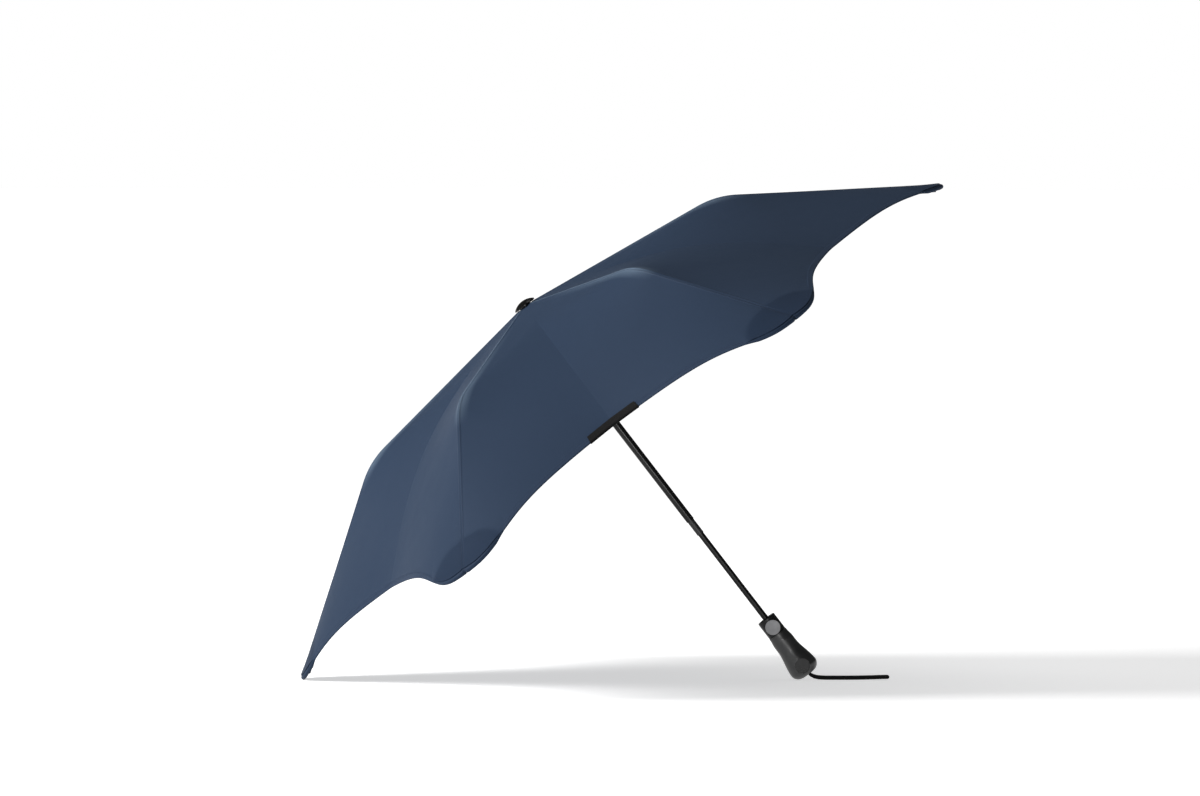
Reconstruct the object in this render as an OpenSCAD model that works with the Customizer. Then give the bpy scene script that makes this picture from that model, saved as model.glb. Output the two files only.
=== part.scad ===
// Folding umbrella with a telescoping shaft, six two-section ribs and rounded spreader tips.
// Each module is drawn in the umbrella's own frame: the apex of the fabric at the origin, the shaft
// running down along -Z, and rib 0 pointing along +X. lay_down() then sets the umbrella on the ground,
// where it leans on the tip of rib 3 and on the end of its handle.

/* [Canopy] */
// Slope of the inner rib sections below level, degrees
inner_droop = 7.75; // [5:0.25:10]
// Slope of the outer rib sections below level, degrees
outer_droop = 34.9; // [30:0.1:38]
// Distance from the axis to the knee of the fabric over a rib
knee_r = 261; // [255:1:265]
// Distance from the axis to the tip of a rib
tip_r = 482; // [476:1:488]
// How far the edge between two ribs runs inside the line of the tips
scallop = 57; // [50:1:62]
// Half the width of the rounded tip, where its edge turns to the hollow one
scallop_w = 84; // [78:1:88]
// Length over which the fabric rounds the knee, at a rib
knee_round = 25; // [20:1:30]
// Length over which the fabric rounds the knee, halfway between ribs
knee_round_mid = 150; // [120:5:180]
// Thickness of the fabric solid, along the shaft
cloth_t = 0.8; // [0.6:0.1:1]

/* [Shaft] */
// Outer radius of the upper tube
upper_r = 5; // [5:0.1:5]
// Outer radius of the lower tube
lower_r = 3.7; // [3.7:0.1:3.7]
// Wall of both tubes
tube_wall = 0.6; // [0.5:0.1:0.6]
// Depth of the upper tube's lower end below the apex
upper_end = 328; // [324:1:332]
// Length of the guide bush that shows below the upper tube
bush_len = 20; // [16:1:22]

/* [Ribs] */
// Depth of the fabric above an inner rib's middle line
rib_below = 10.7; // [10.7:0.1:11.2]
// Depth of the fabric above an outer rib's middle line
rod_below = 6.5; // [6.5:0.1:7]
// Radius of the circle of rib hinges on the crown
crown_pivot_r = 14; // [14:0.5:14]
// Distance from the crown hinge to the strut hinge, along an inner rib
strut_at = 100; // [98:1:102]
// Length of a strut between its hinges
strut_len = 135; // [134:1:137]
// Radius of an outer rib's rod
rod_r = 1.5; // [1.3:0.1:1.5]

/* [Handle] */
// Depth of the handle's upper end below the apex
handle_top = 476; // [474:1:478]
// Depth of the handle's lower end below the apex
handle_end = 560; // [559:1:561]
// Radius of the collar that holds the button
collar_r = 11.7; // [11.6:0.1:11.8]
// Radius of the push button
button_r = 9; // [8:0.1:9]
// Width of the wrist strap
strap_w = 10; // [9:0.5:10]
// Thickness of the doubled wrist strap
strap_t = 4.4; // [3.6:0.1:4.4]

/* [Lay] */
// Lean of the shaft from upright, degrees
lean = 37.7; // [37.7:0.1:37.7]

/* [Hidden] */
$fn = 48;
ribs = 6;
sector = 360 / ribs;
half_chord = sin(sector / 2);          // half the distance between two ribs, over their radius
running_gap = 0.05;                    // between a pin or tube and its bore
cloth_gap = 0.35;                      // between the fabric and what lies next to it

// ---- Fabric surface: s runs along a rib from the axis, t runs from a rib (0) to halfway (1) ----
apex_r = 14;
apex_a = 5;
fabric_start_r = 11;
knee_a = apex_a + (knee_r - apex_r) * tan(inner_droop);
inner_dir = [cos(inner_droop), sin(inner_droop)];      // outward and down the shaft
outer_dir = [cos(outer_droop), sin(outer_droop)];
s_start = (fabric_start_r - knee_r) / inner_dir[0];    // s is 0 at the knee
s_tip = (tip_r - knee_r) / outer_dir[0];

// A rib's fabric line, rounded over round_len each side of the knee: [radius, depth]
function profile(s, round_len) =
    s <= -round_len ? [knee_r, knee_a] + s * inner_dir :
    s >= round_len ? [knee_r, knee_a] + s * outer_dir :
    let (v = (s + round_len) / (2 * round_len))
    [knee_r, knee_a] - pow(1 - v, 2) * round_len * inner_dir + v * v * round_len * outer_dir;

function smooth(u) = u * u * (3 - 2 * u);

ridge = 0.03;                          // half the width of the rounded ridge over a rib, as a share

// How far the fabric stands out of the straight line between two ribs: it does so toward the tips
function fullness(u, s) =
    1.15 * smooth(min(1, max(0, (s - 20) / (s_tip - 40)))) * u * pow(1 - u, 1.5);

// Share of the way along the straight line between two ribs, with the ridge rounded off
function across(t, s) =
    let (u = min(1, abs(t)))
    (u >= ridge ? u : u * u / (2 * ridge) + ridge / 2) - ridge / 2 * (1 - smooth(u)) - fullness(u, s);

// Point of the fabric in a rib's own frame
function fabric(s, t) =
    let (u = min(1, abs(t)),
         p = profile(s, knee_round + (knee_round_mid - knee_round) * pow(u, 0.8)),
         m = across(t, s))
    [p[0] * (1 - half_chord * half_chord * m), p[0] * half_chord * cos(sector / 2) * t, -p[1]];

// How far the edge stands back from the tip, at a distance y along the line of two tips
function edge_back(y) = scallop * (1 - 1 / (1 + pow(abs(y) / scallop_w, 3.2)));

function s_edge(t) = s_tip - edge_back(abs(t) * tip_r * half_chord);

// Largest t of a rib's own share of the fabric, which leaves a gap to the next one
function t_end(s) = 1 - cloth_gap / (max(profile(s, 1)[0], 1) * half_chord * cos(sector / 2));

// ---- Generic solids ----
// Closed solid between two grids of points of the same size, rows by columns
module grid_solid(top, bottom) {
    rows = len(top);
    cols = len(top[0]);
    count = rows * cols;
    points = concat([for (row = top) each row], [for (row = bottom) each row]);
    function at(i, j, lower) = i * cols + j + lower * count;
    sheets = [for (i = [0:rows - 2], j = [0:cols - 2]) each [
        [at(i, j, 0), at(i + 1, j, 0), at(i + 1, j + 1, 0)],
        [at(i, j, 0), at(i + 1, j + 1, 0), at(i, j + 1, 0)],
        [at(i, j, 1), at(i + 1, j + 1, 1), at(i + 1, j, 1)],
        [at(i, j, 1), at(i, j + 1, 1), at(i + 1, j + 1, 1)]]];
    ends = [for (j = [0:cols - 2]) each [
        [at(0, j, 0), at(0, j + 1, 0), at(0, j + 1, 1)],
        [at(0, j, 0), at(0, j + 1, 1), at(0, j, 1)],
        [at(rows - 1, j, 0), at(rows - 1, j + 1, 1), at(rows - 1, j + 1, 0)],
        [at(rows - 1, j, 0), at(rows - 1, j, 1), at(rows - 1, j + 1, 1)]]];
    sides = [for (i = [0:rows - 2]) each [
        [at(i, 0, 0), at(i + 1, 0, 1), at(i + 1, 0, 0)],
        [at(i, 0, 0), at(i, 0, 1), at(i + 1, 0, 1)],
        [at(i, cols - 1, 0), at(i + 1, cols - 1, 0), at(i + 1, cols - 1, 1)],
        [at(i, cols - 1, 0), at(i + 1, cols - 1, 1), at(i, cols - 1, 1)]]];
    polyhedron(points, [for (f = concat(sheets, ends, sides)) [f[0], f[2], f[1]]]);
}

// Coil spring along +Z, as a four-sided wire
module coil(radius, wire_r, height, turns) {
    steps = round(turns * 10);
    corners = 4;
    ring = [for (k = [0:steps]) let (a = 360 * turns * k / steps, z = height * k / steps)
        [for (c = [0:corners - 1]) let (b = 360 * c / corners + 45, r = radius + wire_r * cos(b))
            [r * cos(a), r * sin(a), z + wire_r * sin(b)]]];
    points = [for (row = ring) each row];
    walls = [for (k = [0:steps - 1], c = [0:corners - 1])
        let (n = (c + 1) % corners, p = k * corners)
        each [[p + c, p + corners + c, p + corners + n], [p + c, p + corners + n, p + n]]];
    last = steps * corners;
    polyhedron(points, concat(walls, [[0, 1, 2, 3]], [[last + 3, last + 2, last + 1, last]]));
}

module ring_cut(radius, wire_r) {
    rotate_extrude() translate([radius, 0]) circle(wire_r, $fn = 24);
}

// Turned part about the shaft: radius and depth pairs, closed at the axis
module turned(outline) {
    rotate_extrude() polygon([for (p = outline) [p[0], -p[1]]]);
}

module tube(outer, inner, top, bottom) {
    translate([0, 0, -bottom]) difference() {
        cylinder(r = outer, h = bottom - top);
        translate([0, 0, -1]) cylinder(r = inner, h = bottom - top + 2);
    }
}

// A pin, boss or bore along Y
module cross_cylinder(r, width) {
    rotate([90, 0, 0]) cylinder(r = r, h = width, center = true, $fn = 32);
}

module bar(x0, x1, width, z0, z1) {
    translate([x0, -width / 2, z0]) cube([x1 - x0, width, z1 - z0]);
}

// ---- Placing ----
function lay_x(r, a) = r * cos(lean) + a * sin(lean);
function lay_z(r, a) = r * sin(lean) - a * cos(lean);
stand_x = 118.45;                      // puts the origin under the middle of the umbrella
stand_z = 450.1;                       // height of the apex above the ground

module lay_down() {
    translate([-stand_x, 0, stand_z]) rotate([0, -lean, 0]) children();
}

module at_rib(i) {
    rotate([0, 0, sector * i]) children();
}

// ---- Rib linkage, in the plane of one rib: [radius, depth] ----
inner_down = [-sin(inner_droop), cos(inner_droop)];    // square to an inner rib, away from the fabric
crown_pivot = [crown_pivot_r,
    apex_a + (crown_pivot_r - apex_r) * tan(inner_droop) + rib_below / cos(inner_droop)];
bend = (outer_droop - inner_droop) / 2;
mean_droop = (outer_droop + inner_droop) / 2;
knee_pivot = [knee_r, knee_a] + rod_below / cos(bend) * [-sin(mean_droop), cos(mean_droop)];
knee_offset = rib_below - rod_below;                   // of the knee hinge above the inner rib
inner_len = (knee_pivot - crown_pivot) * inner_dir;
outer_len = s_tip - 1;
strut_drop = 4.5;                                      // of the strut hinge below the inner rib
strut_top = crown_pivot + strut_at * inner_dir + strut_drop * inner_down;
strut_foot_r = crown_pivot_r - strut_drop;
strut_y = 4.1;                         // the struts lie beside the ribs
strut_angle = asin((strut_top[0] - strut_foot_r) / strut_len);
runner_a = strut_top[1] + strut_len * cos(strut_angle);

tongue_w = 2.4;
fork_w = 5;
fork_gap = 3.2;
pin_r = 1;
guide_y = 4;                           // of the control rod, beside the rib
guide_r = 0.9;

module inner_frame(i) {
    at_rib(i) translate([crown_pivot[0], 0, -crown_pivot[1]]) rotate([0, inner_droop, 0]) children();
}

module outer_frame(i) {
    at_rib(i) translate([knee_pivot[0], 0, -knee_pivot[1]]) rotate([0, outer_droop, 0]) children();
}

module strut_frame(i) {
    at_rib(i) translate([strut_top[0], strut_y, -strut_top[1]]) rotate([0, 90 + strut_angle, 0]) children();
}

// Two plates of a fork, from x0 to x1 and z0 to z1
module fork(x0, x1, z0, z1) {
    difference() {
        bar(x0, x1, fork_w, z0, z1);
        bar(x0 - 1, x1 + 1, fork_gap, z0 - 1, z1 + 1);
    }
}

module inner_rib(i) {
    channel_x = 7;
    channel_end = inner_len - 6;
    half_h = 2;
    wall = 0.9;
    color([0.09, 0.09, 0.1]) inner_frame(i) {
        difference() {
            union() {
                cross_cylinder(2.1, tongue_w);
                bar(0, channel_x + 6, tongue_w, -1.5, 1.5);
            }
            cross_cylinder(pin_r, fork_w);
        }
        difference() {
            bar(channel_x, channel_end, fork_w, -half_h, half_h);
            bar(channel_x + 6, channel_end + 1, fork_gap, -half_h - 1, half_h - wall);
        }
        difference() {
            bar(strut_at - 4, strut_at + 4, fork_w, -strut_drop - 2.5, -half_h + 1);
            translate([strut_at, 0, -strut_drop]) cross_cylinder(pin_r, fork_w + 2);
        }
        difference() {
            fork(channel_end - 4, inner_len + 2.2, -half_h, knee_offset + 1.7);
            translate([inner_len, 0, knee_offset]) cross_cylinder(pin_r, fork_w + 2);
        }
        translate([inner_len, 0, knee_offset]) cross_cylinder(pin_r, fork_w + 0.8);
        for (x = [80, 150, 215]) difference() {
            translate([x - 1, -guide_y - 1.6, -1.6]) cube([2, guide_y + 1.6 - fork_w / 2 + 0.2, 3.2]);
            translate([x - 2, -guide_y, 0]) rotate([0, 90, 0]) cylinder(r = guide_r + running_gap, h = 4, $fn = 24);
        }
    }
}

// Rod that slides in guides beside an inner rib and folds the outer one
module control_rod(i) {
    color([0.6, 0.6, 0.62]) inner_frame(i) translate([62, -guide_y, 0]) rotate([0, 90, 0])
        cylinder(r = guide_r, h = inner_len - 10 - 62, $fn = 24);
}

module outer_rib(i) {
    tongue_end = 13;
    color([0.12, 0.12, 0.13]) outer_frame(i) {
        difference() {
            union() {
                cross_cylinder(2.4, tongue_w);
                bar(0, tongue_end, tongue_w, -1.4, 1.4);
            }
            cross_cylinder(pin_r + running_gap, fork_w);
        }
        translate([tongue_end - 2, 0, 0]) rotate([0, 90, 0]) cylinder(r = rod_r, h = outer_len - tongue_end - 5);
    }
}

module strut(i) {
    color([0.1, 0.1, 0.11]) strut_frame(i) difference() {
        union() {
            cross_cylinder(2.2, tongue_w);
            bar(0, strut_len, tongue_w, -1.5, 1.5);
            translate([strut_len, 0, 0]) cross_cylinder(2.1, tongue_w);
        }
        translate([strut_len, 0, 0]) cross_cylinder(pin_r + running_gap, fork_w);
    }
}

// ---- Rounded tip: a hub on the rod, a curved edge and two arms, one moulding ----
spread_half = 50;
spread_below = 3.4;
spread_t = 2;

function spread_point(s, y, dy, up) =
    let (p = fabric(s, y / (tip_r * half_chord)))
    [p[0], p[1] + dy, p[2] - spread_below + up];

module spread_band(line, half_width) {
    grid_solid([for (p = line) [spread_point(p[0] - half_width, p[1], 0, 0), spread_point(p[0] + half_width, p[1], 0, 0)]],
               [for (p = line) [spread_point(p[0] - half_width, p[1], 0, -spread_t), spread_point(p[0] + half_width, p[1], 0, -spread_t)]]);
}

module tip_spreader(i) {
    hub_len = 24;
    hub_from = s_tip - 66;
    edge_line = [for (k = [-8:8]) let (y = k * spread_half / 8) [s_tip - edge_back(y) - 6.5, y]];
    arm_end = s_tip - edge_back(spread_half) - 7;
    color([0.16, 0.16, 0.17]) at_rib(i) union() {
        spread_band(edge_line, -2.5);
        for (side = [-1, 1])
            spread_band([for (k = [0:6]) let (v = k / 6)
                [hub_from + 14 + v * (arm_end - hub_from - 14), side * (2.2 + v * (spread_half - 4.2))]], -2.2 * side);
    }
    color([0.16, 0.16, 0.17]) outer_frame(i) translate([hub_from, 0, 0]) rotate([0, 90, 0]) difference() {
        cylinder(r = 3.1, h = hub_len);
        translate([0, 0, -1]) cylinder(r = rod_r, h = hub_len + 2);
    }
}

// ---- Canopy, one sector to each rib, in two sections that meet at the knee ----
sector_cols = 8;

module canopy_sheet(s0, s1_of, rows) {
    function point(i, j, up) =
        let (side = j / sector_cols - 1,
             s_rim = s1_of(abs(side)),
             s = s0 + (s_rim - s0) * i / rows,
             p = fabric(s, side * t_end(s)))
        [p[0], p[1], p[2] + up];
    grid_solid([for (i = [0:rows]) [for (j = [0:2 * sector_cols]) point(i, j, cloth_t / 2)]],
               [for (i = [0:rows]) [for (j = [0:2 * sector_cols]) point(i, j, -cloth_t / 2)]]);
}

module canopy_inner(i) {
    color([0.2, 0.24, 0.31]) at_rib(i)
        canopy_sheet(s_start, function(u) -cloth_gap, 10);
}

module canopy_outer(i) {
    color([0.2, 0.24, 0.31]) at_rib(i)
        canopy_sheet(cloth_gap, function(u) s_edge(u), 14);
}

module edge_label() {
    label_len = 50;
    label_w = 11;
    label_t = 0.7;
    label_lift = 2.3;                   // clear of the bulge of the panels on both sides
    mid_share = cos(sector / 2);
    edge = profile(s_edge(1), knee_round_mid);
    slope = atan(tan(outer_droop) / mid_share);
    color([0.05, 0.05, 0.05]) rotate([0, 0, 270])
        translate([edge[0] * mid_share, 0, -edge[1]]) rotate([0, slope, 0])
            translate([-label_w, -label_len / 2, cloth_t / 2 + label_lift]) cube([label_w, label_len, label_t]);
}

// ---- Head of the shaft ----
crown_top = crown_pivot[1] - 5;
crown_bottom = crown_pivot[1] + 5;
crown_r = 17;
ring_r = 0.8;
cap_r = 14.3;
cap_base = 3.5;
cap_top = -3.2;

module crown() {
    slot_w = 3;
    color([0.07, 0.07, 0.08]) difference() {
        translate([0, 0, -crown_bottom]) cylinder(r = crown_r, h = crown_bottom - crown_top);
        translate([0, 0, -crown_bottom - 1]) cylinder(r = upper_r, h = crown_bottom - crown_top + 2);
        for (i = [0:ribs - 1]) at_rib(i)
            translate([10.5, -slot_w / 2, -crown_bottom - 1]) cube([crown_r, slot_w, crown_bottom - crown_top + 2]);
        translate([0, 0, -crown_pivot[1]]) ring_cut(crown_pivot_r, ring_r + running_gap);
    }
}

module crown_ring() {
    color([0.6, 0.6, 0.62]) translate([0, 0, -crown_pivot[1]]) ring_cut(crown_pivot_r, ring_r);
}

module top_cap() {
    stem_r = upper_r - tube_wall - 0.1;
    rim_h = 1.6;
    dome_r = (pow(cap_r, 2) + pow(cap_base - rim_h - cap_top, 2)) / (2 * (cap_base - rim_h - cap_top));
    dome_half = asin(cap_r / dome_r);
    dome = [for (k = [0:12]) let (a = dome_half * (1 - k / 12))
        [dome_r * sin(a), cap_top + dome_r * (1 - cos(a))]];
    color([0.03, 0.03, 0.03]) turned(concat(
        [[0, crown_bottom - 2], [stem_r, crown_bottom - 2], [stem_r, cap_base], [cap_r - 0.6, cap_base],
         [cap_r, cap_base - 0.6]], dome));
}

// ---- Shaft ----
tube_top = crown_top + 1;
spigot_len = 20;
bush_end = upper_end + bush_len;
plug_top = upper_end - spigot_len - 12;
lower_top = plug_top + 4;
socket_end = bush_end + 190;
lower_end = socket_end + 10;

module upper_tube() {
    color([0.06, 0.06, 0.06]) tube(upper_r, upper_r - tube_wall, tube_top, upper_end);
}

module reducer_bush() {
    color([0.08, 0.08, 0.08]) difference() {
        union() {
            translate([0, 0, -upper_end]) cylinder(r = upper_r - tube_wall, h = spigot_len);
            translate([0, 0, -bush_end]) cylinder(r = upper_r - tube_wall - 0.05, h = bush_len);
        }
        translate([0, 0, -bush_end - 1]) cylinder(r = lower_r + running_gap, h = bush_len + spigot_len + 2);
    }
}

module lower_tube() {
    color([0.06, 0.06, 0.06]) tube(lower_r, lower_r - tube_wall, lower_top, lower_end);
}

module tube_plug() {
    color([0.3, 0.3, 0.3]) {
        translate([0, 0, -lower_top]) cylinder(r = upper_r - tube_wall - 0.08, h = lower_top - plug_top);
        translate([0, 0, -lower_top - 8]) cylinder(r = lower_r - tube_wall, h = 8);
    }
}

module shaft_spring() {
    color([0.7, 0.7, 0.72]) translate([0, 0, -plug_top + 0.6])
        coil(3.6, 0.35, plug_top - crown_bottom - 6, 21);
}

// ---- Runner: the struts turn on pins in its ears ----
module runner() {
    barrel_r = 7;
    ear_t = 1.6;
    ear_y = strut_y - tongue_w / 2 - 0.3 - ear_t;
    pin_len = ear_t + tongue_w + 0.6;
    color([0.08, 0.08, 0.09]) difference() {
        union() {
            translate([0, 0, -runner_a - 26]) cylinder(r = barrel_r, h = 30);
            translate([0, 0, -runner_a - 26]) cylinder(r = 10, h = 3);
            translate([0, 0, -runner_a - 12]) cylinder(r = 8, h = 3);
            for (i = [0:ribs - 1]) at_rib(i)
                translate([5.6, ear_y, -runner_a - 4]) cube([6, ear_t, 8]);
            for (i = [0:ribs - 1]) at_rib(i)
                translate([strut_foot_r, ear_y + pin_len / 2, -runner_a]) cross_cylinder(pin_r, pin_len);
        }
        translate([0, 0, -runner_a - 30]) cylinder(r = upper_r + running_gap, h = 40);
    }
}

// ---- Handle ----
collar_end = handle_top + 23;
cup_depth = 2.5;
cup_r = 9.8;
button_a = handle_top + 13;
button_face = 12.9;
button_back = 10.2;
pocket_floor = 7.2;
core_r = 9.3;
core_end = lower_end;
disc_a = 547;
disc_r = 9;
disc_floor = 13.4;
disc_face = 14.4;

// Along the button's line, which points to -Y, from one distance to another
module button_line(a, r, from, to) {
    translate([0, -from, -a]) rotate([90, 0, 0]) cylinder(r = r, h = to - from);
}

module handle_collar() {
    color([0.13, 0.13, 0.13]) difference() {
        turned([[0, handle_top], [collar_r - 0.6, handle_top], [collar_r, handle_top + 0.6],
                [collar_r, collar_end], [0, collar_end]]);
        translate([0, 0, -handle_top - cup_depth]) cylinder(r = cup_r, h = cup_depth + 1);
        translate([0, 0, -collar_end - 1]) cylinder(r = upper_r + 0.3, h = collar_end - handle_top + 2);
        button_line(button_a, button_r + 0.2, pocket_floor, collar_r + 2);
        button_line(button_a, 1.8, 0, collar_r);
    }
}

module button() {
    color([0.32, 0.33, 0.34]) difference() {
        union() {
            button_line(button_a, button_r, button_back, button_face);
            button_line(button_a, 1.5, 8.1, button_back + 0.5);
        }
        translate([0, -button_face - 27.6, -button_a]) sphere(r = 28, $fn = 64);
    }
}

module button_spring() {
    color([0.7, 0.7, 0.72]) translate([0, -pocket_floor - 0.5, -button_a]) rotate([90, 0, 0])
        coil(5, 0.35, button_back - pocket_floor - 1, 2);
}

module handle_core() {
    color([0.2, 0.2, 0.2]) difference() {
        translate([0, 0, -core_end]) cylinder(r = core_r, h = core_end - collar_end - 0.2);
        translate([0, 0, -socket_end]) cylinder(r = upper_r + 0.3, h = socket_end);
        translate([0, 0, -core_end - 1]) cylinder(r = lower_r, h = core_end);
    }
}

// Radius of the grip at a share u of its length: a slight waist, then a flare
function grip_radius(u) = 12 + 1.7 * smooth(min(1, u / 0.2)) - 0.4 * sin(180 * min(1, u / 0.6)) + 4.4 * smooth(min(1, max(0, (u - 0.3) / 0.55)));

module handle_grip() {
    end_round = 11;
    straight = handle_end - end_round - collar_end;
    side = [for (k = [0:14]) [grip_radius(k / 14 * straight / (handle_end - collar_end)), collar_end + 0.2 + k / 14 * straight]];
    foot_r = side[14][0];
    corner = [for (k = [1:8]) let (a = 90 * k / 8)
        [foot_r - end_round + 0.2 + end_round * cos(a), handle_end - end_round + 0.2 + (end_round - 0.2) * sin(a)]];
    color([0.15, 0.15, 0.15]) difference() {
        turned(concat([[0, collar_end + 0.2]], side, corner, [[0, handle_end]]));
        translate([0, 0, -core_end]) cylinder(r = core_r, h = core_end);
        for (turn = [0, 180]) rotate([0, 0, turn]) button_line(disc_a, disc_r + 0.2, disc_floor, 24);
        translate([-4, -strap_w / 2 - 0.8, -handle_end - 2]) cube([8, strap_w + 1.6, handle_end - core_end + 1]);
        translate([0, 0, -strap_pin_a]) cross_cylinder(1.2, 18);
    }
}

strap_pin_a = core_end + 5;

module strap_pin() {
    color([0.7, 0.7, 0.72]) translate([0, 0, -strap_pin_a]) cross_cylinder(1.2, 17.6);
}

module grip_discs() {
    color([0.1, 0.1, 0.1]) for (turn = [0, 180]) rotate([0, 0, turn])
        button_line(disc_a, disc_r, disc_floor, disc_face);
}

// ---- Wrist strap: drops out of the handle's end and lies on the ground, in the laid-down frame ----
strap_far = 100;                       // how far the strap reaches along the ground from the handle's end
strap_start = handle_end - 4.5;
strap_exit = [lay_x(0, strap_start) - stand_x, lay_z(0, strap_start) + stand_z];

strap_line = [for (p = [[0, 0], [3, -3.2], [6.5, -6.2], [11, -8], [17, -8.8], [26, -9], [40, -9], [60, -9], [80, -9], [strap_far, -9]])
    [strap_exit[0] + p[0], max(strap_t / 2 + 0.05, strap_exit[1] + p[1])]];

module wrist_strap() {
    last = len(strap_line) - 1;
    function across_dir(k) = let (d = strap_line[min(last, k + 1)] - strap_line[max(0, k - 1)]) [-d[1], d[0]] / norm(d);
    function row(k, off) = [for (y = [-1, 1])
        [strap_line[k][0] + across_dir(k)[0] * off, y * strap_w / 2, strap_line[k][1] + across_dir(k)[1] * off]];
    color([0.05, 0.05, 0.05]) grid_solid([for (k = [0:last]) row(k, strap_t / 2)], [for (k = [0:last]) row(k, -strap_t / 2)]);
}

lay_down() top_cap();
lay_down() crown();
lay_down() crown_ring();
lay_down() upper_tube();
lay_down() reducer_bush();
lay_down() runner();
lay_down() lower_tube();
lay_down() tube_plug();
lay_down() shaft_spring();
lay_down() handle_core();
lay_down() handle_collar();
lay_down() handle_grip();
lay_down() button();
lay_down() button_spring();
lay_down() grip_discs();
lay_down() strap_pin();
wrist_strap();
lay_down() edge_label();
for (i = [0:ribs - 1]) {
    lay_down() inner_rib(i);
    lay_down() outer_rib(i);
    lay_down() strut(i);
    lay_down() control_rod(i);
    lay_down() tip_spreader(i);
    lay_down() canopy_inner(i);
    lay_down() canopy_outer(i);
}
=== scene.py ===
import math
import bpy
from mathutils import Matrix, Vector


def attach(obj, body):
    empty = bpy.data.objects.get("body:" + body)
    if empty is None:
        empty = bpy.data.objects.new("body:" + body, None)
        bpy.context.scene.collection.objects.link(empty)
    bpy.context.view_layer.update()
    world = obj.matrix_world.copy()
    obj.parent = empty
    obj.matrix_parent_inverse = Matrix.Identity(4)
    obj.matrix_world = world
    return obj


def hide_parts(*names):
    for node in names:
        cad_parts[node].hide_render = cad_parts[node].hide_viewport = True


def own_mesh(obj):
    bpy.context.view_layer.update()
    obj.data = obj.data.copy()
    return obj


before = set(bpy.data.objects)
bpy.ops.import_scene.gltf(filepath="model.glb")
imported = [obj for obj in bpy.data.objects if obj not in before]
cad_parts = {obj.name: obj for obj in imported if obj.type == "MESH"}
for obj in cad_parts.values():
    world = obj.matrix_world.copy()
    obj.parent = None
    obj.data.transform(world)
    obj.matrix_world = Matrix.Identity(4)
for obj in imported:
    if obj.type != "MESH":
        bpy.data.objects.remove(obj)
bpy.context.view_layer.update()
MM = 0.001

# ---- Dimensions, in millimetres and degrees, as in the CAD model ----
RIBS = 6
LEAN = math.radians(37.7)
STAND_X = 118.45
STAND_Z = 450.1
APEX_R = 14.0
APEX_A = 5.0
FABRIC_START = 11.0
KNEE_R = 261.0
TIP_R = 482.0
INNER_DROOP = math.radians(7.75)
OUTER_DROOP = math.radians(34.9)
SCALLOP = 57.0
SCALLOP_W = 84.0
KNEE_ROUND = 25.0
KNEE_ROUND_MID = 150.0
HALF_CHORD = 0.5
SECTOR_COS = math.cos(math.radians(30.0))
BUTTON_A = 489.0
HANDLE_END = 560.0
STRAP_START = HANDLE_END - 4.5
STRAP_W = 10.0

# ---- Dimensions of the cloth ----
CLOTH_HALF = 0.18          # half the cloth's drawn thickness
SEAM_HALF = 2.6            # half the width of the felled seam over a rib
SEAM_RISE = 0.45
HEM = 7.0
HEM_RISE = 0.35
RIDGE = 0.03               # half the width of the rounded ridge over a rib, as a share
SAG = 5.0                  # how far a panel hangs in between two ribs
POCKET_LEN = 60.0
POCKET_HALF = 66.0
POCKET_LIP = 1.6
POCKET_RISE = 1.5
SPREAD_HALF = 50.0
SPREAD_BELOW = 3.4

INNER_DIR = (math.cos(INNER_DROOP), math.sin(INNER_DROOP))
OUTER_DIR = (math.cos(OUTER_DROOP), math.sin(OUTER_DROOP))
KNEE_A = APEX_A + (KNEE_R - APEX_R) * math.tan(INNER_DROOP)
S_START = (FABRIC_START - KNEE_R) / INNER_DIR[0]
S_TIP = (TIP_R - KNEE_R) / OUTER_DIR[0]

# From the umbrella's own frame, in millimetres, to the shared frame, in metres
LAY = (Matrix.Translation((-STAND_X * MM, 0.0, STAND_Z * MM))
       @ Matrix.Rotation(-LEAN, 4, "Y")
       @ Matrix.Scale(MM, 4))


def at_rib(i):
    return LAY @ Matrix.Rotation(math.radians(60.0 * i), 4, "Z")


# ---------------------------------------------------------------- camera

def make_camera():
    azimuth = math.radians(1.13)
    elevation = math.radians(1.89)
    roll = math.radians(-0.124)
    distance = 11.96
    target = Vector((-0.0265, 0.0, 0.3372))
    forward = Vector((math.sin(azimuth) * math.cos(elevation),
                      math.cos(azimuth) * math.cos(elevation), -math.sin(elevation)))
    right = Vector((math.cos(azimuth), -math.sin(azimuth), 0.0))
    up = right.cross(forward)
    tilt = Matrix.Rotation(roll, 3, forward)
    right = tilt @ right
    up = tilt @ up
    data = bpy.data.cameras.new("camera")
    data.lens = 300.0
    data.sensor_width = 36.0
    data.clip_end = 60.0
    camera = bpy.data.objects.new("camera", data)
    rotation = Matrix((right, up, -forward)).transposed().to_4x4()
    camera.matrix_world = Matrix.Translation(target - forward * distance) @ rotation
    bpy.context.scene.collection.objects.link(camera)
    bpy.context.scene.camera = camera


# ---------------------------------------------------------------- materials

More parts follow.
